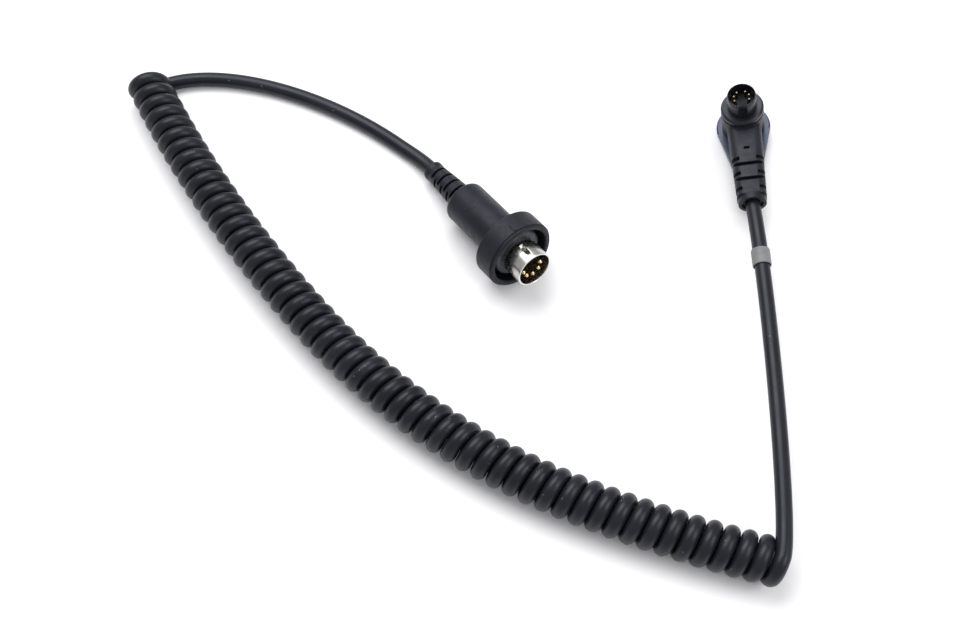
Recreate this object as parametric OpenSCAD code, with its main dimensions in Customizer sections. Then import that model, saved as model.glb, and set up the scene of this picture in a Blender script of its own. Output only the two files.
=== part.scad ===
// Coiled connecting cord with a straight five-pin round plug at one end
// and a right-angle miniature round plug at the other.
// Origin: centre of the round back face of the right-angle plug.
// +Z is up from the table, the cord leaves the right-angle plug towards -Y.

/* [Cord] */
// Outer diameter of the cord jacket
cord_d = 5.2; // [4.8:0.1:5.3]
// Wall thickness of the jacket on the straight tails
jacket_wall = 0.85; // [0.5:0.05:1.1]
// Number of insulated conductors in the cord
conductor_count = 5; // [3:1:5]
// Diameter of one insulated conductor
conductor_d = 1.1; // [0.6:0.1:1.1]

/* [Coil] */
// Diameter of the coil at the centre of the cord
coil_mean_d = 10.4; // [9:0.2:14]
// Number of turns in the coil
coil_turns = 52; // [40:1:52]
// Right end of the coil axis, across the table
coil_end_x = -6.0; // [-10:0.5:0]
// Right end of the coil axis, along the table
coil_end_y = -162.4; // [-170:0.5:-155]
// Heading of the coil axis at its right end, seen from above
coil_heading = 165.8; // [150:0.2:175]

/* [Straight plug] */
// Outer diameter of the plated shell
shell_d = 13.2; // [13.1:0.05:13.3]
// Length of shell that stands proud of the seal ring
shell_reach = 9.4; // [8:0.2:10]
// Overall length from the cord mouth to the shell rim
plug_len = 59.8; // [58:0.2:62]
// Outer diameter of the moulded barrel
barrel_d = 15.4; // [15:0.1:16]
// Outer diameter of the rubber collar
collar_d = 25.5; // [24:0.5:27]
// Length of the rubber collar
collar_len = 8.6; // [8:0.2:10]
// Upward tilt of the plug, resting on its collar
plug_tilt = 11.4; // [8:0.2:14]
// Heading of the plug axis, seen from above
plug_heading = -53.1; // [-60:0.5:-45]

/* [Right-angle plug] */
// Outer diameter of the miniature shell
mini_shell_d = 10.2; // [9.8:0.1:10.4]
// Height of the shell rim above the back face
mini_height = 21; // [20:0.5:22]
// Diameter of the round back cap
cap_d = 19.2; // [18:0.2:20]
// Diameter of the plug body under the shell
mini_body_d = 15; // [14.6:0.1:15.4]
// Distance from the shell axis to the cord mouth
arm_len = 36; // [35:0.5:38]
// Lean of the plug about its cord, resting on the rim of its cap
plug_lean = 13; // [0:1:15]

/* [Marker band] */
// Length of the marker band
band_len = 6.2; // [4:0.2:8]
// Outer diameter of the marker band
band_d = 6.4; // [6.2:0.1:6.8]

/* [Hidden] */

fit_gap = 0.05;
seam_gap = 0.02;
cord_r = cord_d / 2;
coil_r = coil_mean_d / 2;
bore_r = cord_r - jacket_wall;
table_z = -cap_d / 2 * sin(plug_lean);

// The coil axis is three arcs in plan, each given as [length, radius]
axis_arcs = [[62, 454], [106, 229], [117.5, 495]];
axis_len = axis_arcs[0][0] + axis_arcs[1][0] + axis_arcs[2][0];
steps_per_turn = 12;
cord_sides = 8;
near_end_turns = 1.5;
middle_start = 20;
middle_end = 32;

// ---- paths ---------------------------------------------------------------

function unit(v) = v / norm(v);

// A plan position is [x, y, heading]; the arc bends to the right of travel
function along_arc(p, s, r) = let(turn = s / r * 180 / PI)
    [p[0] + r * (sin(p[2]) - sin(p[2] - turn)), p[1] - r * (cos(p[2]) - cos(p[2] - turn)), p[2] - turn];

function along_axis(p, s, i = 0) = (i == len(axis_arcs) - 1 || s <= axis_arcs[i][0])
    ? along_arc(p, s, axis_arcs[i][1])
    : along_axis(along_arc(p, axis_arcs[i][0], axis_arcs[i][1]), s - axis_arcs[i][0], i + 1);

function axis_at(t) = along_axis([coil_end_x, coil_end_y, coil_heading], t / coil_turns * axis_len);

// Centre of the cord in the coil at turn t; the cord starts over the top
function coil_point(t) = let(p = axis_at(t), a = 90 + 360 * t)
    [p[0] + coil_r * cos(a) * sin(p[2]), p[1] - coil_r * cos(a) * cos(p[2]),
     table_z + cord_r + coil_r + coil_r * sin(a)];

// Station of a tube: [centre, first normal, second normal], both across the path
function coil_station(t) = let(p = axis_at(t), a = 90 + 360 * t, e = 0.001,
        n = [cos(a) * sin(p[2]), -cos(a) * cos(p[2]), sin(a)],
        d = unit(coil_point(t + e) - coil_point(t - e)))
    [coil_point(t), n, cross(d, n)];

function bezier(c, u) = pow(1 - u, 3) * c[0] + 3 * pow(1 - u, 2) * u * c[1]
    + 3 * (1 - u) * u * u * c[2] + pow(u, 3) * c[3];

function bezier_slope(c, u) = pow(1 - u, 2) * (c[1] - c[0]) + 2 * (1 - u) * u * (c[2] - c[1])
    + u * u * (c[3] - c[2]);

function bezier_station(c, u) = let(d = unit(bezier_slope(c, u)), n = unit(cross([0, 0.02, 1], d)))
    [bezier(c, u), n, cross(d, n)];

function bezier_stations(c, u0, u1, steps) =
    [for (i = [0 : steps]) bezier_station(c, u0 + (u1 - u0) * i / steps)];

// Stations moved sideways, winding round the path by twist degrees in all
function wound(stations, offset, phase, twist) = [for (i = [0 : len(stations) - 1])
    let(s = stations[i], a = phase + twist * i / (len(stations) - 1))
    [s[0] + offset * (cos(a) * s[1] + sin(a) * s[2]), s[1], s[2]]];

function heading_dir(a) = [cos(a), sin(a), 0];

// ---- tails ---------------------------------------------------------------

tail_steps = 24;
straight_tail_start = coil_point(coil_turns + 0.5);
plug_mouth = [-113.4, -19, table_z + 3.9];
plug_dir = [cos(plug_tilt) * cos(plug_heading), cos(plug_tilt) * sin(plug_heading), sin(plug_tilt)];
lift_from = 0.87;
lift_handle = 6.7;
straight_tail_end = [plug_mouth[0], plug_mouth[1], straight_tail_start[2]];
straight_tail_curve = [straight_tail_start, straight_tail_start + 26 * heading_dir(36),
    straight_tail_end - 45.3 * heading_dir(-46.6), straight_tail_end];
lift_start = bezier(straight_tail_curve, lift_from);
lift_curve = [lift_start, lift_start + lift_handle * unit(bezier_slope(straight_tail_curve, lift_from)),
    plug_mouth - lift_handle * plug_dir, plug_mouth];

arm_z = 6.3;
angled_tail_start = coil_point(0);
angled_mouth = [-arm_z * sin(plug_lean), -arm_len, arm_z * cos(plug_lean)];
angled_tail_curve = [angled_tail_start, angled_tail_start + 9.7 * heading_dir(66.3),
    angled_mouth - 30 * heading_dir(94), angled_mouth];

tail_clear = 0.002;
lift_steps = 6;
straight_tail = concat(
    bezier_stations(straight_tail_curve, 2 * tail_clear, lift_from, tail_steps - lift_steps),
    bezier_stations(lift_curve, 1 / lift_steps, 1 - 3 * tail_clear, lift_steps - 1));
angled_tail = bezier_stations(angled_tail_curve, tail_clear, 1 - tail_clear, tail_steps);
conductor_ring = bore_r - conductor_d / 2 - fit_gap;
lay_twist = 540;
band_at = 0.815;

// ---- tube solids ---------------------------------------------------------

function ring(s, r, sides) = [for (i = [0 : sides - 1])
    s[0] + r * (cos(360 * i / sides) * s[1] + sin(360 * i / sides) * s[2])];

// Wall triangles between rings of equal size; inward flips them for a bore
function wall(count, sides, first = 0, inward = false) = [for (j = [0 : count - 2], i = [0 : sides - 1])
    let(a = first + j * sides + i, b = first + j * sides + (i + 1) % sides, c = a + sides, d = b + sides)
    each (inward ? [[a, b, c], [b, d, c]] : [[a, c, b], [b, c, d]])];

module rod(stations, r, sides) {
    last = (len(stations) - 1) * sides;
    polyhedron(
        points = [for (s = stations) each ring(s, r, sides)],
        faces = concat(wall(len(stations), sides),
            [[for (i = [0 : sides - 1]) i]],
            [[for (i = [sides - 1 : -1 : 0]) last + i]]));
}

module sleeve(stations, r_out, r_in, sides) {
    n = len(stations);
    last = (n - 1) * sides;
    inner = n * sides;
    polyhedron(
        points = concat([for (s = stations) each ring(s, r_out, sides)],
            [for (s = stations) each ring(s, r_in, sides)]),
        faces = concat(wall(n, sides), wall(n, sides, inner, true),
            [for (i = [0 : sides - 1]) let(k = (i + 1) % sides)
                each [[i, k, inner + k, inner + i],
                    [last + k, last + i, last + inner + i, last + inner + k]]]));
}

module coil_length(t0, t1) {
    count = round((t1 - t0) * steps_per_turn);
    gap = seam_gap / (PI * coil_mean_d);
    rod([for (i = [0 : count])
        coil_station(t0 + gap + (t1 - t0 - 2 * gap) * i / count)], cord_r, cord_sides);
}

// Solid turned about the local X axis from [radius, position] points
module turned(profile) rotate([0, 90, 0]) rotate_extrude($fn = 96) polygon(profile);

module tube_x(a0, a1, r_out, r_in)
    turned([[r_in, a0], [r_out, a0], [r_out, a1], [r_in, a1]]);

module tube_z(z0, z1, r_out, r_in) rotate_extrude($fn = 96)
    polygon([[r_in, z0], [r_out, z0], [r_out, z1], [r_in, z1]]);

module in_straight_plug() translate(plug_mouth) rotate([0, 0, plug_heading])
    rotate([0, -plug_tilt, 0]) children();

module in_angled_plug() rotate([0, -plug_lean, 0]) children();

// ---- cord ----------------------------------------------------------------

jacket_black = [0.10, 0.10, 0.12];
mould_black = [0.12, 0.12, 0.14];

module coil_near_end() color(jacket_black) coil_length(0, near_end_turns);

module coil_near() color(jacket_black) coil_length(near_end_turns, middle_start);

module coil_middle() color(jacket_black) coil_length(middle_start, middle_end);

module coil_far() color(jacket_black) coil_length(middle_end, coil_turns - 1);

module coil_far_end() color(jacket_black) coil_length(coil_turns - 1, coil_turns + 0.5);

module tail_jacket(stations) color(jacket_black) sleeve(stations, cord_r, bore_r, 12);

module tail_conductors(stations) color("sienna")
    for (k = [0 : conductor_count - 1])
        rod(wound(stations, conductor_ring, 360 * k / conductor_count, lay_twist), conductor_d / 2, 6);

module marker_band() color([0.42, 0.43, 0.44]) {
    s = bezier_station(angled_tail_curve, band_at);
    d = unit(bezier_slope(angled_tail_curve, band_at));
    translate(s[0]) rotate([0, 0, atan2(d[1], d[0])]) rotate([0, -asin(d[2]), 0])
        translate([-band_len / 2, 0, 0]) tube_x(0, band_len, band_d / 2, cord_r + 0.2);
}

// ---- straight plug -------------------------------------------------------

shell_r = shell_d / 2;
shell_wall = 0.6;
shell_step = 0.25;
shell_rear_r = shell_r - shell_step;
seal_front = plug_len - shell_reach;
collar_rear = plug_len - 16.1;
collar_wall = 2.5;
collar_side = 2.2;
index_len = 4.2;
index_w = 0.9;
nib_w = 1.2;
neck_r = 7.2;
neck_front = collar_rear + collar_wall + fit_gap;
relief_len = 18.75;
relief_r0 = 3.65;
relief_r1 = 4.8;
relief_pitch = 4.05;
relief_slot_w = 1.15;
relief_floor_step = 0.12;
barrel_r = barrel_d / 2;
barrel_round = 1.8;
shell_rear = 27;
seal_r = 9;
key_w = 1.4;
key_from = 52.4;
key_len = 6;
key_depth = 0.9;
key_wall = 0.5;
seam_notch = 1.2;
seam_angle = 16;
shell_turn = 20;
sleeve_bore_r = 5;
pin_face = plug_len - 8.8;
insulator_len = 6.5;
pin_len = 18.7;
pin_tail = pin_face - 11;
pin_circle_r = 3.5;
pin_r = 0.725;
pin_angles = [for (k = [0 : 4]) 180 + 45 * k];
crimp_front = 24;
crimp_plate_front = 26.9;
lead_window = 2;
mouth_gap = 0.3;
lead_phase = 126;
lead_r = conductor_d / 2 - 0.1;

// Slots across the strain relief, in opposite pairs, with their floors a set distance from the axis
module relief_slots(first, count, side_turn, floor_r) for (i = [0 : count - 1]) for (k = [0, 180])
    rotate([side_turn + k, 0, 0])
        translate([first + relief_pitch * i, -6, floor_r + relief_floor_step * i])
            cube([relief_slot_w, 12, 6]);

module barrel_and_strain_relief() color(mould_black) in_straight_plug() difference() {
    turned([
        [cord_r + fit_gap, 0], [relief_r0 - 0.3, 0], [relief_r0 + 0.1, 0.4], [relief_r0 + 0.1, 1.9],
        [relief_r0 - 0.1, 2.3], [relief_r1, relief_len], [barrel_r - barrel_round, relief_len],
        for (a = [0 : 15 : 90])
            [barrel_r + barrel_round * (sin(a) - 1), relief_len + barrel_round * (1 - cos(a))],
        [barrel_r, collar_rear], [neck_r, collar_rear], [neck_r, neck_front],
        [shell_rear_r + fit_gap, neck_front], [shell_rear_r + fit_gap, relief_len + 1.2],
        [cord_r + fit_gap, relief_len + 1.2]]);
    relief_slots(4.05, 4, 0, 1.6);
    relief_slots(6.2, 3, 90, 2.75);
}

module rubber_collar() color(mould_black) in_straight_plug() {
    r = collar_d / 2;
    front = collar_rear + collar_len;
    inner = r - collar_side;
    difference() {
        union() {
            turned([[neck_r + fit_gap, collar_rear + fit_gap], [r - 0.5, collar_rear + fit_gap],
                [r, collar_rear + 0.5], [r, front - 0.9],
                [r - 0.5, front - 0.8], [r - 0.5, front - 0.2], [r - 0.8, front],
                [inner + 0.4, front], [inner, front - 0.5],
                [inner, collar_rear + collar_wall], [neck_r + fit_gap, collar_rear + collar_wall]]);
            translate([front - index_len, -index_w / 2, r - 0.6]) cube([index_len, index_w, 1]);
            translate([front - 1.6, -nib_w / 2, -r - seam_gap]) cube([nib_w, nib_w, 1]);
        }
        translate([front - 0.9, -nib_w / 2, r - 0.3]) cube([2, nib_w, 1]);
    }
}

module seal_ring() color([0.24, 0.25, 0.28]) in_straight_plug()
    turned([[shell_rear_r + fit_gap, neck_front + fit_gap], [seal_r, neck_front + fit_gap],
        for (a = [0 : 18 : 90]) [seal_r - 1 + cos(a), seal_front - 1 + sin(a)],
        [shell_rear_r + fit_gap, seal_front]]);

// The key dent is pressed into the top of the shell; the rolled seam ends in a notch below
module straight_shell() color([0.82, 0.82, 0.78]) in_straight_plug() difference() {
    union() {
        rotate([shell_turn, 0, 0]) turned([[shell_r - shell_wall, shell_rear],
            [shell_rear_r, shell_rear], [shell_rear_r, seal_front], [shell_r, seal_front],
            [shell_r, plug_len], [shell_r - shell_wall, plug_len]]);
        translate([key_from, -key_w / 2 - key_wall, shell_r - key_depth - key_wall])
            cube([key_len, key_w + 2 * key_wall, key_depth]);
    }
    translate([key_from + key_wall, -key_w / 2, shell_r - key_depth])
        cube([key_len - 2 * key_wall, key_w, 2 * key_depth]);
    rotate([seam_angle, 0, 0]) translate([plug_len - seam_notch, -seam_notch / 3, -shell_r - 1])
        cube([2 * seam_notch, seam_notch / 1.5, 2]);
}

module straight_insulator() color([0.10, 0.09, 0.08]) in_straight_plug() difference() {
    rotate([0, 90, 0]) translate([0, 0, pin_face - insulator_len])
        cylinder(r = shell_r - shell_wall - fit_gap, h = insulator_len, $fn = 96);
    for (a = pin_angles) rotate([a, 0, 0]) translate([pin_face - insulator_len - 1, pin_circle_r, 0]) rotate([0, 90, 0])
        cylinder(r = pin_r + 0.03, h = 10, $fn = 32);
}

module straight_pins() color([0.85, 0.65, 0.30]) in_straight_plug()
    for (a = pin_angles) rotate([a, 0, 0]) translate([pin_tail, pin_circle_r, 0]) rotate([0, 90, 0])
        rotate_extrude($fn = 32)
            polygon([[0, 0], [pin_r, 0], [pin_r, pin_len - 0.5], [pin_r - 0.35, pin_len], [0, pin_len]]);

module straight_inner_sleeve() color([0.75, 0.75, 0.72]) in_straight_plug()
    tube_x(shell_rear + 0.5, pin_face - insulator_len - 0.1, shell_r - shell_wall - fit_gap, sleeve_bore_r);

module straight_cord_crimp() color([0.70, 0.70, 0.72]) in_straight_plug() union() {
    tube_x(crimp_front - 3.6, crimp_front, 3.25, cord_r + fit_gap);
    difference() {
        tube_x(crimp_front - 0.5, crimp_plate_front, shell_rear_r, cord_r + fit_gap);
        translate([crimp_front, -shell_r, -shell_r]) cube([4, 2 * shell_r, shell_r - lead_window]);
    }
}

module straight_cord_end() color(jacket_black) in_straight_plug()
    tube_x(mouth_gap, crimp_front, cord_r, bore_r);

// Each lead runs straight through the crimp, then spreads to its pin
module straight_leads() color("sienna") in_straight_plug()
    for (k = [0 : conductor_count - 1]) {
        a = lead_phase + 360 / conductor_count * k;
        b = pin_angles[k];
        from = conductor_ring * [0, cos(a), sin(a)];
        to = pin_circle_r * [0, cos(b), sin(b)];
        curve = [[crimp_plate_front, 0, 0] + from, [crimp_plate_front + 4, 0, 0] + from,
            [pin_tail - 5, 0, 0] + to, [pin_tail - fit_gap, 0, 0] + to];
        start = [[1, 0, 0] + from, [0, 0, 1], [0, -1, 0]];
        rod(concat([start], bezier_stations(curve, 0, 1, 10)), lead_r, 6);
    }

// ---- right-angle plug ----------------------------------------------------

mini_r = mini_shell_d / 2;
mini_wall = 0.55;
mini_step = 0.25;
cap_h = 1.8;
body_top = 11.6;
ring_h = 0.8;
flange_top = 14.3;
body_r = mini_body_d / 2;
cavity_r = 6.2;
mini_face = 16.4;
mini_pin_circle_r = 2.75;
mini_pin_angles = [18, 58, 122, 162, 202, 338];
mini_lead_pins = [58, 18, 338, 162, 122];
mini_pin_r = 0.3;
crimp_y = 9.5;
arm_round = 2.8;
arm_top = 11.3;
arm_slot_pitch = 6;
arm_slot_w = 1.4;
arm_floor = 2.9;
window_w = 2;
window_y = -15.9;
window_depth = 1.6;
mini_pin_foot = 9;
mini_lead_r = 0.3;
lead_first_angle = -54;
lead_bend_y = 9;
mini_crimp_r = 3.2;

module arm_section(y, half_w, z0, z1) translate([0, -y, 0]) rotate([90, 0, 0])
    linear_extrude(0.1) translate([0, (z0 + z1) / 2]) offset(arm_round, $fn = 16)
        square([2 * (half_w - arm_round), z1 - z0 - 2 * arm_round], center = true);

module arm_bore(r, depth, from = 0) translate([0, -from, arm_z]) rotate([90, 0, 0])
    cylinder(r = r, h = depth, $fn = 48);

// Slots across the arm: a small window, two pairs above and below, three pairs at the sides
module arm_slots() {
    translate([-window_w / 2, window_y, arm_top - window_depth]) cube([window_w, 1, window_depth + 1]);
    for (i = [0, 1], s = [0, 1]) translate([0, 0, arm_z]) rotate([0, 180 * s, 0])
        translate([-6.5, -22.6 - arm_slot_pitch * i, arm_floor]) cube([13, arm_slot_w, 4]);
    for (i = [0 : 2], s = [0, 1]) translate([0, 0, arm_z]) rotate([0, 180 * s, 0])
        translate([arm_floor, -20.2 - arm_slot_pitch * i, -6]) cube([4, arm_slot_w, 12]);
}

module angled_body() color(mould_black) in_angled_plug() difference() {
    union() {
        translate([0, 0, cap_h + fit_gap]) cylinder(r = body_r, h = body_top - cap_h - fit_gap, $fn = 96);
        hull() {
            arm_section(2, 6.15, cap_h + 2 * fit_gap, arm_top);
            arm_section(arm_len - 2.4, 5.1, cap_h + 2 * fit_gap, arm_top - 0.5);
        }
        arm_bore(4.85, 2.4, arm_len - 2.4);
    }
    translate([0, 0, 3]) cylinder(r = cavity_r, h = 12, $fn = 96);
    arm_bore(cord_r + fit_gap, arm_len + 1);
    arm_bore(mini_crimp_r + fit_gap, crimp_y + 4.5);
    arm_bore(3.7, 2, arm_len - 0.9);
    arm_slots();
}

module back_cap() color([0.16, 0.18, 0.24]) in_angled_plug() union() {
    rotate_extrude($fn = 96) polygon([[0, 0], [cap_d / 2 - 0.3, 0], [cap_d / 2, 0.3],
        [cap_d / 2, cap_h - 0.5], [cap_d / 2 - 0.5, cap_h], [0, cap_h]]);
    linear_extrude(cap_h) polygon([[-9.3, -2.2], [-5.6, -16.5], [5.6, -16.5], [9.3, -2.2]]);
}

module o_ring() color([0.05, 0.05, 0.05]) in_angled_plug()
    tube_z(body_top + fit_gap, body_top + ring_h, body_r - 0.4, cavity_r + fit_gap);

module flange_ring() color([0.15, 0.15, 0.17]) in_angled_plug()
    rotate_extrude($fn = 96) polygon([[mini_r - mini_step + fit_gap, 9], [cavity_r - fit_gap, 9],
        [cavity_r - fit_gap, body_top + ring_h + fit_gap], [body_r, body_top + ring_h + fit_gap],
        [body_r, flange_top - 0.7], [body_r - 0.7, flange_top], [mini_r - mini_step + fit_gap, flange_top]]);

module angled_shell() color([0.16, 0.16, 0.18]) in_angled_plug() difference() {
    rotate_extrude($fn = 96) polygon([[mini_r - mini_wall, 10], [mini_r - mini_step, 10],
        [mini_r - mini_step, flange_top], [mini_r, flange_top], [mini_r, mini_height - 0.25],
        [mini_r - 0.2, mini_height], [mini_r - mini_wall, mini_height]]);
    translate([-1.1, -mini_r - 1, flange_top + 0.4]) cube([2.2, 1.2, 7]);
}

module angled_insulator() color([0.08, 0.08, 0.09]) in_angled_plug() difference() {
    union() {
        cylinder_from(10.5, mini_face, mini_r - mini_wall - fit_gap);
        intersection() {
            cylinder_from(mini_face - 1, mini_face + 1.8, mini_r - mini_wall - fit_gap);
            translate([-1.8, -5, 0]) cube([3.6, 4.4, 30]);
        }
        translate([-2, -0.6, mini_face - 1]) cube([4, 0.8, 2.4]);
    }
    for (a = mini_pin_angles) rotate([0, 0, a]) translate([mini_pin_circle_r, 0, 8])
        cylinder(r = mini_pin_r + 0.02, h = 14, $fn = 24);
}

module cylinder_from(z0, z1, r) translate([0, 0, z0]) cylinder(r = r, h = z1 - z0, $fn = 96);

module angled_pins() color([0.85, 0.72, 0.45]) in_angled_plug()
    for (a = mini_pin_angles) rotate([0, 0, a]) translate([mini_pin_circle_r, 0, mini_pin_foot])
        cylinder(r = mini_pin_r, h = mini_height - mini_pin_foot - 1.4, $fn = 24);

module angled_inner_sleeve() color([0.75, 0.75, 0.72]) in_angled_plug() difference() {
    tube_z(3.05, 8.9, cavity_r - fit_gap, 4.6);
    translate([-3.4, -8, 2]) cube([6.8, 8, 8]);
}

module angled_cord_crimp() color([0.70, 0.70, 0.72]) in_angled_plug()
    translate([0, -crimp_y, arm_z]) rotate([0, 0, -90])
        tube_x(0, 4, mini_crimp_r, cord_r + fit_gap);

module angled_cord_end() color(jacket_black) in_angled_plug()
    translate([0, -crimp_y + 0.4, arm_z]) rotate([0, 0, -90])
        tube_x(0, arm_len - crimp_y + 0.3, cord_r, bore_r);

// Each lead leaves the jacket straight, then rises to its pin at its own height
module angled_leads() color("sienna") in_angled_plug()
    for (k = [0 : conductor_count - 1]) {
        a = lead_first_angle + 360 / conductor_count * k;
        b = mini_lead_pins[k];
        from = conductor_ring * [cos(a), 0, sin(a)] + [0, -lead_bend_y, arm_z];
        to = mini_pin_circle_r * [cos(b), sin(b), 0] + [0, 0, mini_pin_foot - seam_gap];
        curve = [from, from + [0, lead_bend_y / 2, 0], [to[0], to[1], from[2]], to];
        start = [from - [0, arm_len - lead_bend_y - 1, 0], [0, 0, 1], [1, 0, 0]];
        rod(concat([start], bezier_stations(curve, 0, 1, 12)), mini_lead_r, 6);
    }

// ---- drawing -------------------------------------------------------------

coil_near_end();
coil_near();
coil_middle();
coil_far();
coil_far_end();
tail_jacket(straight_tail);  // straight_tail_jacket
tail_conductors(straight_tail);  // straight_tail_conductors
tail_jacket(angled_tail);  // angled_tail_jacket
tail_conductors(angled_tail);  // angled_tail_conductors
marker_band();
barrel_and_strain_relief();
rubber_collar();
seal_ring();
straight_shell();
straight_insulator();
straight_pins();
straight_inner_sleeve();
straight_cord_crimp();
straight_cord_end();
straight_leads();
angled_body();
back_cap();
flange_ring();
o_ring();
angled_shell();
angled_insulator();
angled_pins();
angled_inner_sleeve();
angled_cord_crimp();
angled_cord_end();
angled_leads();
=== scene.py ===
import math

import bmesh
import bpy
import numpy as np
from mathutils import Matrix, Vector


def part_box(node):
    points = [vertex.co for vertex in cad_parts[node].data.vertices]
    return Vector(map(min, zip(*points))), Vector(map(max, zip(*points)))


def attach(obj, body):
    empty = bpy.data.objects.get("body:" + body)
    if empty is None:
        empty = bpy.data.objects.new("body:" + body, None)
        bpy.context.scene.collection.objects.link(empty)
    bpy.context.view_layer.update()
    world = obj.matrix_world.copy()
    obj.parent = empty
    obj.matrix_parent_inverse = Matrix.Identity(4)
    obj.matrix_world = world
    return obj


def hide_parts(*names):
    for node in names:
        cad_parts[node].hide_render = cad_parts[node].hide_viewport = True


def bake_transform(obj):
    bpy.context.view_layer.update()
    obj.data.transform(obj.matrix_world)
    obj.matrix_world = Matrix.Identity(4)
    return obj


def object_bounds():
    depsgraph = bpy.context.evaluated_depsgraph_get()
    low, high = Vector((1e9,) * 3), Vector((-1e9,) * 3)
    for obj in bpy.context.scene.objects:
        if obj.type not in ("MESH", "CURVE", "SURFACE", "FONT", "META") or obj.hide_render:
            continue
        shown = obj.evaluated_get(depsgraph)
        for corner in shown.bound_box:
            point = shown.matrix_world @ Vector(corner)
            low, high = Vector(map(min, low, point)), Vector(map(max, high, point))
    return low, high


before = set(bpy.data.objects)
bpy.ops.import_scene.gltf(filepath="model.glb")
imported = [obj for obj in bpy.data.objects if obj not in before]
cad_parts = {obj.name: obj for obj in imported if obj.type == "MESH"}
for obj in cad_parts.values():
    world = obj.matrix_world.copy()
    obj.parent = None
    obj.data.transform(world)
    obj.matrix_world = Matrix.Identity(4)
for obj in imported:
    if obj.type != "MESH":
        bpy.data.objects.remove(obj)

CAD_LOW, CAD_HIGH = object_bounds()
MM = 0.001

# ---- driving dimensions, shared with the CAD part; lengths in mm, angles in degrees --------

CORD_R = 2.6
COIL_R = 5.2
COIL_TURNS = 52
NEAR_END_TURN = 1.5
MIDDLE_START, MIDDLE_END = 20, 32
FAR_END_TURN = COIL_TURNS - 1
LAST_TURN = COIL_TURNS + 0.5
# x, y and heading where the coil's axis starts, then the length and radius of each of its arcs
COIL_START = (-6.0, -162.4, 165.8)
AXIS_ARCS = [(62, 454), (106, 229), (117.5, 495)]
AXIS_LEN = sum(arc[0] for arc in AXIS_ARCS)
TABLE_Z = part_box("coil_middle")[0].z / MM
LEAN = 13
PLUG_TILT, PLUG_HEADING = 11.4, -53.1
PLUG_MOUTH = np.array([-113.4, -19, TABLE_Z + 3.9])
ARM_Z, ARM_LEN = 6.3, 36
PLUG_LEN = 59.8
SHELL_R, SHELL_WALL, SHELL_STEP = 6.6, 0.6, 0.25
SEAL_FRONT = 50.4
SMALL_R, SMALL_WALL, SMALL_STEP = 5.1, 0.55, 0.25
SMALL_TOP, FLANGE_TOP = 21, 14.3
BAND_AT, BAND_LEN, BAND_R = 0.815, 6.2, 3.2
# length and heading of each tail's curve handle, where it leaves the coil and where it reaches its plug
STRAIGHT_OUT, STRAIGHT_IN = (26, 36), (45.3, -46.6)
ANGLED_OUT, ANGLED_IN = (9.7, 66.3), (30, 94)
LIFT_FROM, LIFT_HANDLE = 0.87, 6.7

# ---- bend zones and mesh density, used here only ---------------------------------------------

BEND_ZONE = 16.0
MOUTH_RUN = 0.28
TUBE_SIDES = 28
RINGS_PER_TURN = 44
TAIL_RINGS, LIFT_RINGS, ANGLED_RINGS = 110, 30, 140
RING_UP = [0.0, 0.02, 1.0]
SHELL_MESH, SMALL_MESH = 0.6, 0.5


# ---- cord paths -------------------------------------------------------------

def heading(angle):
    """Unit vector in plan, at an angle in degrees from +X."""
    return np.array([math.cos(math.radians(angle)), math.sin(math.radians(angle)), 0.0])


def handle(length, angle):
    """A curve handle in plan."""
    return length * heading(angle)


def unit(v):
    return v / np.linalg.norm(v)


def along_arc(p, s, r):
    """The plan position (x, y, heading) after a run s along an arc of radius r that bends right."""
    h = math.radians(p[2])
    turn = s / r
    return (p[0] + r * (math.sin(h) - math.sin(h - turn)),
            p[1] - r * (math.cos(h) - math.cos(h - turn)), p[2] - math.degrees(turn))


def axis_at(turn):
    """The coil's axis in plan, at a turn number."""
    s = turn / COIL_TURNS * AXIS_LEN
    p = COIL_START
    for length, radius in AXIS_ARCS[:-1]:
        if s <= length:
            return along_arc(p, s, radius)
        p = along_arc(p, length, radius)
        s -= length
    return along_arc(p, s, AXIS_ARCS[-1][1])


def coil_point(turn):
    """Centre of the cord in the coil, in mm."""
    p = axis_at(turn)
    a = math.radians(90 + 360 * turn)
    h = math.radians(p[2])
    return np.array([p[0] + COIL_R * math.cos(a) * math.sin(h),
                     p[1] - COIL_R * math.cos(a) * math.cos(h),
                     TABLE_Z + CORD_R + COIL_R + COIL_R * math.sin(a)])


def bezier(c, u):
    """The point at u on the cubic curve with control points c."""
    return ((1 - u) ** 3 * c[0] + 3 * (1 - u) ** 2 * u * c[1]
            + 3 * (1 - u) * u * u * c[2] + u ** 3 * c[3])


def slope(c, u):
    """The unit direction of that curve at u."""
    return unit((1 - u) ** 2 * (c[1] - c[0]) + 2 * (1 - u) * u * (c[2] - c[1])
                + u * u * (c[3] - c[2]))


def in_straight_plug():
    """Places the straight plug: its origin is the cord's mouth, and its X runs along the plug."""
    return (Matrix.Translation(Vector(PLUG_MOUTH * MM))
            @ Matrix.Rotation(math.radians(PLUG_HEADING), 4, "Z")
            @ Matrix.Rotation(math.radians(-PLUG_TILT), 4, "Y"))


def in_angled_plug():
    """Places the right-angle plug, which leans on the rim of its cap."""
    return Matrix.Rotation(math.radians(-LEAN), 4, "Y")


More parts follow.
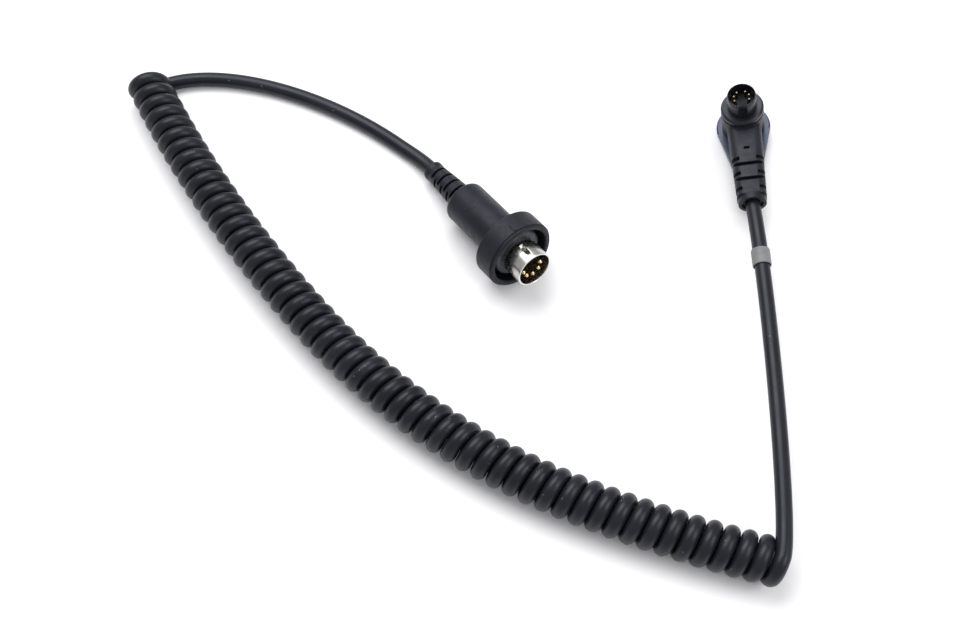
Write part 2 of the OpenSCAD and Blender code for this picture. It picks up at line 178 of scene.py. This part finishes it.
PLUG_DIR = heading(PLUG_HEADING) * math.cos(math.radians(PLUG_TILT))
PLUG_DIR[2] = math.sin(math.radians(PLUG_TILT))
TAIL_START = coil_point(LAST_TURN)
TAIL_END = np.array([PLUG_MOUTH[0], PLUG_MOUTH[1], TAIL_START[2]])
STRAIGHT_CURVE = [TAIL_START, TAIL_START + handle(*STRAIGHT_OUT), TAIL_END - handle(*STRAIGHT_IN), TAIL_END]
LIFT_START = bezier(STRAIGHT_CURVE, LIFT_FROM)
LIFT_CURVE = [LIFT_START, LIFT_START + LIFT_HANDLE * slope(STRAIGHT_CURVE, LIFT_FROM),
              PLUG_MOUTH - LIFT_HANDLE * PLUG_DIR, PLUG_MOUTH]
ANGLED_START = coil_point(0)
ANGLED_MOUTH = np.array([-ARM_Z * math.sin(math.radians(LEAN)), -ARM_LEN,
                         ARM_Z * math.cos(math.radians(LEAN))])
ANGLED_CURVE = [ANGLED_START, ANGLED_START + handle(*ANGLED_OUT), ANGLED_MOUTH - handle(*ANGLED_IN),
                ANGLED_MOUTH]


def straight_tail_path():
    """The straight tail's centre line: it lies on the table, then lifts to the plug and ends just inside it."""
    body = [bezier(STRAIGHT_CURVE, u) for u in np.linspace(0, LIFT_FROM, TAIL_RINGS)]
    lift = [bezier(LIFT_CURVE, u) for u in np.linspace(0, 1, LIFT_RINGS)][1:]
    return np.array(body + lift + [PLUG_MOUTH + MOUTH_RUN * PLUG_DIR])


def angled_tail_path():
    """The other tail's centre line, which ends just inside the right-angle plug."""
    points = [bezier(ANGLED_CURVE, u) for u in np.linspace(0, 1, ANGLED_RINGS)]
    return np.array(points + [ANGLED_MOUTH + np.array([0, MOUTH_RUN, 0])])


def smooth(x):
    """A smooth step from 0 to 1, as x goes from 0 to 1."""
    x = np.clip(x, 0, 1)
    return x * x * (3 - 2 * x)


# ---- mesh helpers -----------------------------------------------------------

def mesh_object(name, points, faces, material, sharp_angle):
    """A smooth object whose edges steeper than sharp_angle stay sharp."""
    mesh = bpy.data.meshes.new(name)
    mesh.from_pydata([tuple(p) for p in points], [], faces)
    built = bmesh.new()
    built.from_mesh(mesh)
    bmesh.ops.recalc_face_normals(built, faces=built.faces)
    for face in built.faces:
        face.smooth = True
    for edge in built.edges:
        if edge.calc_face_angle(0) > math.radians(sharp_angle):
            edge.smooth = False
    built.to_mesh(mesh)
    built.free()
    obj = bpy.data.objects.new(name, mesh)
    bpy.context.scene.collection.objects.link(obj)
    mesh.materials.append(material)
    return obj


def tube(name, padded):
    """A round rod along a path in mm, closed by flat ends. The path has one more point at each end, so that
    lengths which meet share the same direction there."""
    padded = np.asarray(padded)
    centres, tangents = padded[1:-1], padded[2:] - padded[:-2]
    tangents /= np.linalg.norm(tangents, axis=1)[:, None]
    normal = unit(np.cross(tangents[0], RING_UP))
    points = []
    for centre, tangent in zip(centres, tangents):
        normal = unit(normal - tangent * (normal @ tangent))
        other = np.cross(tangent, normal)
        for k in range(TUBE_SIDES):
            a = 2 * math.pi * k / TUBE_SIDES
            points.append((centre + CORD_R * (math.cos(a) * normal + math.sin(a) * other)) * MM)
    faces = []
    for start in range(0, (len(centres) - 1) * TUBE_SIDES, TUBE_SIDES):
        after = start + TUBE_SIDES
        for k in range(TUBE_SIDES):
            n = (k + 1) % TUBE_SIDES
            faces.append((start + k, start + n, after + n, after + k))
    faces.append(tuple(range(TUBE_SIDES)))
    faces.append(tuple(len(points) - TUBE_SIDES + k for k in range(TUBE_SIDES)))
    return mesh_object(name, points, faces, JACKET, sharp_angle=60)


def bend(obj, weights):
    """Bakes the piece's placement into its mesh. The weights, one for each ring, are not used."""
    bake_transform(obj)


def fillet(profile, radius, steps=4):
    """A closed outline with each corner rounded."""
    points = [np.array(p, float) for p in profile]
    out = []
    for i, p in enumerate(points):
        before, after = points[i - 1] - p, points[(i + 1) % len(points)] - p
        r = min(radius, 0.45 * np.linalg.norm(before), 0.45 * np.linalg.norm(after))
        a, b = p + unit(before) * r, p + unit(after) * r
        for k in range(steps + 1):
            u = k / steps
            out.append((1 - u) ** 2 * a + 2 * (1 - u) * u * p + u * u * b)
    return out


def refine(profile, step):
    """Splits long edges, so that a dent can bend them."""
    out = []
    for i, p in enumerate(profile):
        q = profile[(i + 1) % len(profile)]
        count = max(1, int(math.ceil(np.linalg.norm(q - p) / step)))
        out += [p + (q - p) * k / count for k in range(count)]
    return out


def revolve(name, profile, matrix, axis, material, segments=96, dent=None):
    """A ring turned from a closed outline of (position, radius) points in mm. Where dent is given, it returns
    the change of radius at a position, a radius and an angle in degrees. The angle runs from local +Z to +Y
    on a ring turned about X, and from local +Y to +X on one turned about Z."""
    points, faces = [], []
    for j in range(segments):
        angle = 360 * j / segments
        for a, r in profile:
            if dent:
                r = r + dent(a, r, angle)
            y, z = r * math.sin(math.radians(angle)), r * math.cos(math.radians(angle))
            local = Vector((a, y, z)) if axis == "X" else Vector((y, z, a))
            points.append(matrix @ (local * MM))
    count = len(profile)
    for j in range(segments):
        for i in range(count):
            k, n = (i + 1) % count, (j + 1) % segments
            faces.append((j * count + i, n * count + i, n * count + k, j * count + k))
    return mesh_object(name, points, faces, material, sharp_angle=50)


# ---- materials --------------------------------------------------------------

DUST = (0.55, 0.55, 0.56, 1)
COOL_SHINE = (0.86, 0.91, 1.0, 1)
# how much lighter the edges get: a painted edge highlight (sheen), and edge wear
EDGE_SHEEN_AND_WEAR_GAIN, EDGE_SHEEN_AND_WEAR_LIFT = 3, 0.05
BUMP_STRENGTH = 0.6
BEVEL_SAMPLES = 6


def surface(name, colour, rough, metallic=0.0, grain=5000, grain_depth=0.00002, patch=120, patch_amount=0.25,
            rough_amount=0.08, specks=0.0, speck_scale=900, edge=0.0, rounding=0.00015, specular=0.5):
    """A finish with patches of tone, fine grain, pale dust specks, lighter edges that paint an edge highlight
    and show wear, and rounded edges.
    Scales are per metre, and grain_depth and rounding are in metres."""
    m = bpy.data.materials.new(name)
    m.use_nodes = True
    tree = m.node_tree
    tree.nodes.clear()
    new, link = tree.nodes.new, tree.links.new
    out, bsdf = new("ShaderNodeOutputMaterial"), new("ShaderNodeBsdfPrincipled")
    link(bsdf.outputs["BSDF"], out.inputs["Surface"])
    place = new("ShaderNodeTexCoord").outputs["Object"]

    def noise(scale, detail):
        node = new("ShaderNodeTexNoise")
        node.inputs["Scale"].default_value = scale
        node.inputs["Detail"].default_value = detail
        link(place, node.inputs["Vector"])
        return node.outputs["Fac"]

    def spread(value, low, high, lo=0.3, hi=0.7):
        node = new("ShaderNodeMapRange")
        node.inputs["From Min"].default_value, node.inputs["From Max"].default_value = lo, hi
        node.inputs["To Min"].default_value, node.inputs["To Max"].default_value = low, high
        link(value, node.inputs["Value"])
        return node.outputs["Result"]

    def product(first, second):
        node = new("ShaderNodeMath")
        node.operation = "MULTIPLY"
        for socket, value in zip(node.inputs, (first, second)):
            if isinstance(value, float):
                socket.default_value = value
            else:
                link(value, socket)
        return node.outputs[0]

    def mix(factor, first, second):
        node = new("ShaderNodeMix")
        node.data_type = "RGBA"
        for key, value in (("A", first), ("B", second)):
            socket = [s for s in node.inputs if s.name == key and s.type == "RGBA"][0]
            if isinstance(value, tuple):
                socket.default_value = value
            else:
                link(value, socket)
        link(factor, node.inputs["Factor"])
        return [s for s in node.outputs if s.type == "RGBA"][0]

    dark = tuple(c * (1 - patch_amount) for c in colour) + (1,)
    light = tuple(min(1, c * (1 + patch_amount)) for c in colour) + (1,)
    tone = mix(spread(noise(patch, 4), 0, 1), dark, light)
    soft = new("ShaderNodeBevel") if rounding else new("ShaderNodeNewGeometry")
    if rounding:
        soft.samples = BEVEL_SAMPLES
        soft.inputs["Radius"].default_value = rounding
    # edges are lightened in colour: a painted edge highlight (sheen), and edge wear
    if edge:
        shape = new("ShaderNodeNewGeometry")
        dot = new("ShaderNodeVectorMath")
        dot.operation = "DOT_PRODUCT"
        link(shape.outputs["Normal"], dot.inputs[0])
        link(soft.outputs["Normal"], dot.inputs[1])
        sheen_and_wear = tuple(min(1, c * EDGE_SHEEN_AND_WEAR_GAIN + EDGE_SHEEN_AND_WEAR_LIFT) for c in colour) + (1,)
        tone = mix(spread(dot.outputs["Value"], edge, 0, lo=0.8, hi=0.99), tone, sheen_and_wear)
    if specks:
        dots = new("ShaderNodeTexVoronoi")
        dots.inputs["Scale"].default_value = speck_scale
        link(place, dots.inputs["Vector"])
        near = spread(dots.outputs["Distance"], 1, 0, lo=0.04, hi=0.12)
        gate = spread(noise(speck_scale / 3, 2), 0, 1, lo=0.60, hi=0.64)
        tone = mix(product(product(near, gate), specks), tone, DUST)
    link(tone, bsdf.inputs["Base Color"])
    link(spread(noise(patch * 3, 5), rough - rough_amount, rough + rough_amount), bsdf.inputs["Roughness"])
    bump = new("ShaderNodeBump")
    bump.inputs["Distance"].default_value = grain_depth
    bump.inputs["Strength"].default_value = BUMP_STRENGTH
    link(noise(grain, 3), bump.inputs["Height"])
    link(soft.outputs["Normal"], bump.inputs["Normal"])
    link(bump.outputs["Normal"], bsdf.inputs["Normal"])
    bsdf.inputs["Metallic"].default_value = metallic
    bsdf.inputs["Specular IOR Level"].default_value = specular
    if not metallic:
        bsdf.inputs["Specular Tint"].default_value = COOL_SHINE
    return m


JACKET = surface("cord_pvc", (0.0085, 0.0090, 0.0125), 0.36, grain=2600, grain_depth=0.000012, patch=60,
                 specks=0.7, speck_scale=700, rough_amount=0.05, rounding=0.0, specular=0.27)
MOULDING = surface("moulded_pvc", (0.0090, 0.0095, 0.0145), 0.44, grain=3500, patch=150, specks=0.6,
                   edge=0.3, rounding=0.0002, specular=0.24)
COLLAR = surface("collar_rubber_skin", (0.0095, 0.0100, 0.0140), 0.50, grain=4200, grain_depth=0.00003,
                 patch=200, specks=0.8, speck_scale=1100, edge=0.5, rounding=0.0002, specular=0.24)
SEAL = surface("seal_rubber_skin", (0.030, 0.032, 0.040), 0.5, grain=4000, patch=200, specks=0.3, edge=0.3)
NICKEL = surface("brushed_nickel", (0.50, 0.49, 0.46), 0.26, metallic=1.0, grain=2500, grain_depth=0.0000015,
                 patch=300, patch_amount=0.08, rough_amount=0.07, rounding=0.0001)
INNER = surface("inner_steel", (0.60, 0.60, 0.60), 0.30, metallic=1.0, patch=300, patch_amount=0.1)
GOLD = surface("gold_plate", (0.86, 0.66, 0.34), 0.22, metallic=1.0, grain=5000, grain_depth=0.000004,
               patch=500, patch_amount=0.1, rounding=0.00008)
# a lighter copy of the nickel for the rolled rim: a painted highlight along the rim
LIT_RIM_NICKEL = surface("rim_nickel_painted_highlight", (0.74, 0.73, 0.70), 0.32, metallic=1.0, patch=300, patch_amount=0.06,
                     rounding=0.0)
# a near-black copy of the gold for the right-angle plug's pins: painted shade of the dark socket they stand in
SHADED_GOLD = surface("gold_pins_painted_shade", (0.12, 0.10, 0.07), 0.35, metallic=1.0, grain=5000,
                    grain_depth=0.000004, patch=500, patch_amount=0.1, rounding=0.0)
SPRING = surface("spring_plate", (0.45, 0.46, 0.47), 0.3, metallic=1.0, patch=500, rounding=0.0)
INSULATOR = surface("insulator_plastic", (0.012, 0.009, 0.008), 0.55, grain=5000, patch=400, specks=0.2,
                    specular=0.2)
DARK_INSULATOR = surface("dark_insulator_plastic", (0.008, 0.008, 0.009), 0.55, grain=5000, patch=400,
                         specular=0.15)
CAP = surface("cap_gloss_plastic", (0.020, 0.030, 0.062), 0.24, grain=1800, grain_depth=0.000002, patch=150,
              rough_amount=0.03, edge=0.4, rounding=0.0002, specular=0.4)
RING = surface("ring_plastic_skin", (0.010, 0.0105, 0.014), 0.34, grain=4000, patch=200, edge=0.4, specks=0.3,
               specular=0.3)
PLATE = surface("black_plating", (0.022, 0.023, 0.028), 0.28, metallic=0.6, grain=4000, grain_depth=0.000004,
                patch=250, edge=0.6, rounding=0.00015, specular=0.3)
BAND = surface("band_grey_plastic", (0.16, 0.163, 0.165), 0.55, grain=4500, grain_depth=0.00002, patch=250,
               patch_amount=0.12, specks=0.4, edge=0.2, rounding=0.0001)
WIRE = surface("wire_insulation", (0.30, 0.10, 0.05), 0.45, patch=200)

NODE_FINISH = {
    "barrel_and_strain_relief": (MOULDING, "plug_moulding"),
    "rubber_collar": (COLLAR, "collar_rubber"),
    "seal_ring": (SEAL, "seal_rubber"),
    "straight_insulator": (INSULATOR, "insulator"),
    "straight_pins": (GOLD, "gold_pins"),
    "straight_inner_sleeve": (INNER, "inner_metal"),
    "straight_cord_crimp": (INNER, "inner_metal"),
    "straight_cord_end": (JACKET, "jacket"),
    "straight_leads": (WIRE, "insulation"),
    "angled_body": (MOULDING, "plug_moulding"),
    "back_cap": (CAP, "cap_plastic"),
    "flange_ring": (RING, "ring_plastic"),
    "o_ring": (SEAL, "seal_rubber"),
    "angled_insulator": (DARK_INSULATOR, "insulator"),
    # painted shade: these pins get the near-black copy of the gold
    "angled_pins": (SHADED_GOLD, "gold_pins"),
    "angled_inner_sleeve": (INNER, "inner_metal"),
    "angled_cord_crimp": (INNER, "inner_metal"),
    "angled_cord_end": (JACKET, "jacket"),
    "angled_leads": (WIRE, "insulation"),
}
WELD_REACH = 0.000002
SPLIT_ANGLE = 28
for node_name, (finish, slot_name) in NODE_FINISH.items():
    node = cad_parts[node_name]
    node.data.materials.clear()
    node.data.materials.append(finish)
    for polygon in node.data.polygons:
        polygon.use_smooth = True
    if "custom_normal" in node.data.attributes:
        node.data.attributes.remove(node.data.attributes["custom_normal"])
    weld = node.modifiers.new("Weld", "WELD")
    weld.merge_threshold = WELD_REACH
    split = node.modifiers.new("Split", "EDGE_SPLIT")
    split.split_angle = math.radians(SPLIT_ANGLE)

# ---- cord -------------------------------------------------------------------

COIL_LENGTHS = [
    ("cord_coil_near_end", "coil_near_end", 0, NEAR_END_TURN, None, None),
    ("cord_coil_near", "coil_near", NEAR_END_TURN, MIDDLE_START, ("coil_middle", "coil_near_end"),
     lambda t: (MIDDLE_START - t) / (MIDDLE_START - NEAR_END_TURN)),
    ("cord_coil_middle", "coil_middle", MIDDLE_START, MIDDLE_END, ("coil_middle", "coil_far_half"),
     lambda t: smooth((t - MIDDLE_START) / (MIDDLE_END - MIDDLE_START))),
    ("cord_coil_far", "coil_far", MIDDLE_END, FAR_END_TURN, ("coil_far_half", "coil_far_end"),
     lambda t: (t - MIDDLE_END) / (FAR_END_TURN - MIDDLE_END)),
    ("cord_coil_far_end", "coil_far_end", FAR_END_TURN, LAST_TURN, None, None),
]
for piece_name, node_name, first, last, bodies, weight in COIL_LENGTHS:
    turns = np.linspace(first, last, int(round((last - first) * RINGS_PER_TURN)) + 1)
    step = turns[1] - turns[0]
    centres = np.array([coil_point(t) for t in turns])
    padded = np.vstack([coil_point(first - step), centres, coil_point(last + step)])
    piece = tube(piece_name, padded)
    if bodies:
        bend(piece, [weight(t) for t in turns])
    else:
        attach(piece, node_name)
    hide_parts(node_name)


def tail(prefix, path, nodes):
    """A tail in two lengths: the first leaves the coil, the second enters its plug.
    Each length stands for the tail's jacket and its conductors."""
    run = np.concatenate([[0], np.cumsum(np.linalg.norm(np.diff(path, axis=0), axis=1))])
    total = run[-1] - MOUTH_RUN
    cut = len(path) // 2
    padded = np.vstack([2 * path[0] - path[1], path, 2 * path[-1] - path[-2]])
    piece = tube(prefix + "_near", padded[:cut + 3])
    bend(piece, smooth(run[:cut + 1] / BEND_ZONE))
    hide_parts(*nodes)
    piece = tube(prefix + "_far", padded[cut:])
    bend(piece, smooth((run[cut:] - (total - BEND_ZONE)) / BEND_ZONE))
    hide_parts(*nodes)


tail("cord_straight_tail", straight_tail_path(),
     ["straight_tail_jacket", "straight_tail_conductors"])
tail("cord_angled_tail", angled_tail_path(),
     ["angled_tail_jacket", "angled_tail_conductors"])

# ---- marker band ------------------------------------------------------------

band_centre = bezier(ANGLED_CURVE, BAND_AT)
band_dir = Vector(slope(ANGLED_CURVE, BAND_AT))
band_turn = band_dir.to_track_quat("X", "Z").to_matrix().to_4x4()
band_matrix = Matrix.Translation(Vector(band_centre * MM)) @ band_turn
half = BAND_LEN / 2
BAND_SLACK, BAND_LIP, BAND_TAPER = 0.2, 0.12, 0.3
band_profile = fillet([(-half, CORD_R + BAND_SLACK), (-half, BAND_R - BAND_LIP), (-half + BAND_TAPER, BAND_R),
                       (half - BAND_TAPER, BAND_R), (half, BAND_R - BAND_LIP), (half, CORD_R + BAND_SLACK)],
                      BAND_LIP)
band = revolve("marker_sleeve", band_profile, band_matrix, "X", BAND)
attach(band, "band")
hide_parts("marker_band")

# ---- straight plug shell ----------------------------------------------------

DENT_FROM, DENT_TO, DENT_DEPTH, DENT_HALF = 52.9, 57.9, 0.8, 6.0
DENT_BLEND, DENT_START_RUN, DENT_END_RUN = 2, 0.7, 2.5
SEAM_AT, SEAM_SPREAD, SEAM_DEPTH = 180 - 16, 1.2, 0.05
NOTCH_LEN, NOTCH_RUN, NOTCH_DEPTH = 1.3, 0.5, 0.12
# how far back from the rim the painted highlight reaches, and how round the rim is
LIT_RIM_DEPTH, RIM_ROUND = 0.28, 0.26
SHELL_REAR = 27
STEP_RUN = 0.05


def shell_dent(a, r, angle):
    """The pressed key dent on top, and the rolled seam with its notch at the rim."""
    top = min(angle, 360 - angle)
    across = 1 - smooth((top - DENT_HALF + DENT_BLEND) / (2 * DENT_BLEND))
    along = smooth((a - DENT_FROM) / DENT_START_RUN) * smooth((DENT_TO - a) / DENT_END_RUN)
    seam = math.exp(-((angle - SEAM_AT) / SEAM_SPREAD) ** 2)
    notch = seam * smooth((a - PLUG_LEN + NOTCH_LEN) / NOTCH_RUN)
    return -DENT_DEPTH * across * along - SEAM_DEPTH * seam - NOTCH_DEPTH * notch


shell_profile = fillet([(SHELL_REAR, SHELL_R - SHELL_WALL), (SHELL_REAR, SHELL_R - SHELL_STEP),
                        (SEAL_FRONT, SHELL_R - SHELL_STEP), (SEAL_FRONT + STEP_RUN, SHELL_R),
                        (PLUG_LEN, SHELL_R), (PLUG_LEN, SHELL_R - SHELL_WALL)], RIM_ROUND)
shell = revolve("nickel_shell", refine(shell_profile, SHELL_MESH), in_straight_plug(), "X", NICKEL,
                segments=240, dent=shell_dent)
# the faces at the rim get the lighter nickel copy: a painted highlight on the rolled rim
shell.data.materials.append(LIT_RIM_NICKEL)
to_rim = in_straight_plug().inverted()
for polygon in shell.data.polygons:
    if (to_rim @ polygon.center).x / MM > PLUG_LEN - LIT_RIM_DEPTH:
        polygon.material_index = 1
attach(shell, "straight_plug")
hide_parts("straight_shell")

# ---- small shell ------------------------------------------------------------

SMALL_REAR = 10
DIMPLES = (62, 298)
DIMPLE_DROP, DIMPLE_DEPTH, DIMPLE_SPREAD, DIMPLE_RUN = 2.2, 0.42, 9, 1.0
KEY_HALF, KEY_BLEND, KEY_DEPTH, KEY_START, KEY_SKIN = 12.5, 1, 0.2, 0.3, 0.3
# the mouth's outline: a shallow neck, a lip, and the lip's outer and inner edges
NECK_FROM, NECK_TO, NECK_IN = 0.9, 0.7, 0.12
LIP_FROM, LIP_IN = 0.35, 0.1
LIP_EDGE, INNER_EDGE, INNER_RUN = 0.25, 0.08, 0.3
SMALL_ROUND, SMALL_ROUND_STEPS = 0.08, 3
# the part of the inside that shows the springs
SPRING_SKIN, SPRING_REACH, SPRING_HALF = 0.4, 1.1, 10


def small_dent(a, r, angle):
    """The key strip down the front of the outside, and two pressed spring dimples."""
    front = abs(angle - 180)
    across = 1 - smooth((front - KEY_HALF + KEY_BLEND) / (2 * KEY_BLEND))
    strip = across * smooth((a - FLANGE_TOP - KEY_START) / KEY_START)
    inward = KEY_DEPTH * strip if r > SMALL_R - KEY_SKIN else 0.0
    for at in DIMPLES:
        sideways = (angle - at) / DIMPLE_SPREAD
        along = (a - SMALL_TOP + DIMPLE_DROP) / DIMPLE_RUN
        inward += DIMPLE_DEPTH * math.exp(-sideways ** 2 - along ** 2)
    return -inward


small_profile = fillet([(SMALL_REAR, SMALL_R - SMALL_WALL), (SMALL_REAR, SMALL_R - SMALL_STEP),
                        (FLANGE_TOP, SMALL_R - SMALL_STEP), (FLANGE_TOP + STEP_RUN, SMALL_R),
                        (SMALL_TOP - NECK_FROM, SMALL_R), (SMALL_TOP - NECK_TO, SMALL_R - NECK_IN),
                        (SMALL_TOP - LIP_FROM, SMALL_R - LIP_IN), (SMALL_TOP, SMALL_R - LIP_EDGE),
                        (SMALL_TOP, SMALL_R - SMALL_WALL + INNER_EDGE),
                        (SMALL_TOP - INNER_RUN, SMALL_R - SMALL_WALL)], SMALL_ROUND, SMALL_ROUND_STEPS)
small_shell = revolve("small_shell_skin", refine(small_profile, SMALL_MESH), in_angled_plug(), "Z",
                      PLATE, segments=180, dent=small_dent)
small_shell.data.materials.append(SPRING)
to_plug = in_angled_plug().inverted()
for polygon in small_shell.data.polygons:
    local = to_plug @ (polygon.center / MM)
    at = math.degrees(math.atan2(local.x, local.y)) % 360
    inside = math.hypot(local.x, local.y) < SMALL_R - SPRING_SKIN
    level = abs(local.z - SMALL_TOP + DIMPLE_DROP) < SPRING_REACH
    if inside and level and min(abs(at - dimple) for dimple in DIMPLES) < SPRING_HALF:
        polygon.material_index = 1
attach(small_shell, "angled_plug")
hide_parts("angled_shell")

# ---- stage ------------------------------------------------------------------

FLOOR_HALF = 15
FLOOR_DROP = 0.00002
floor_corners = [(-FLOOR_HALF, -FLOOR_HALF), (FLOOR_HALF, -FLOOR_HALF),
                 (FLOOR_HALF, FLOOR_HALF), (-FLOOR_HALF, FLOOR_HALF)]
floor_mesh = bpy.data.meshes.new("floor")
floor_mesh.from_pydata([(x, y, TABLE_Z * MM - FLOOR_DROP) for x, y in floor_corners], [], [(0, 1, 2, 3)])
floor = bpy.data.objects.new("floor", floor_mesh)
bpy.context.scene.collection.objects.link(floor)
paper = surface("paper_sweep", (0.86, 0.855, 0.87), 0.7, grain=900, grain_depth=0.00001, patch=3,
                patch_amount=0.015, rounding=0.0, specular=0.2)
floor_mesh.materials.append(paper)

world = bpy.data.worlds.new("studio")
bpy.context.scene.world = world
world.use_nodes = True
background = world.node_tree.nodes["Background"]
background.inputs["Color"].default_value = (0.98, 0.985, 1.0, 1)
background.inputs["Strength"].default_value = 0.62

middle = (CAD_LOW + CAD_HIGH) / 2


def softbox(name, offset, size, power):
    """A soft light that points at the middle of the object."""
    data = bpy.data.lights.new(name, "AREA")
    data.shape = "RECTANGLE"
    data.size, data.size_y = size
    data.energy = power
    lamp = bpy.data.objects.new(name, data)
    bpy.context.scene.collection.objects.link(lamp)
    lamp.location = middle + Vector(offset)
    lamp.rotation_mode = "QUATERNION"
    lamp.rotation_quaternion = (middle - lamp.location).to_track_quat("-Z", "Y")


softbox("key", (-0.20, 0.40, 0.75), (0.8, 0.6), 8)
softbox("fill", (0.6, -0.2, 0.6), (0.5, 0.5), 3)

camera_data = bpy.data.cameras.new("camera")
camera = bpy.data.objects.new("camera", camera_data)
bpy.context.scene.collection.objects.link(camera)
CAMERA_DOWN = 64
CAMERA_AT = (-0.0966, -0.2569, 0.3676)
camera.location = CAMERA_AT
camera.rotation_euler = (math.radians(90 - CAMERA_DOWN), 0, 0)
camera_data.sensor_width = 36
camera_data.lens = 45.4
camera_data.shift_x = 0.0006
camera_data.shift_y = -0.0006
camera_data.clip_start = 0.01
camera_data.clip_end = 20
bpy.context.scene.camera = camera
bpy.context.scene.view_settings.view_transform = "Standard"
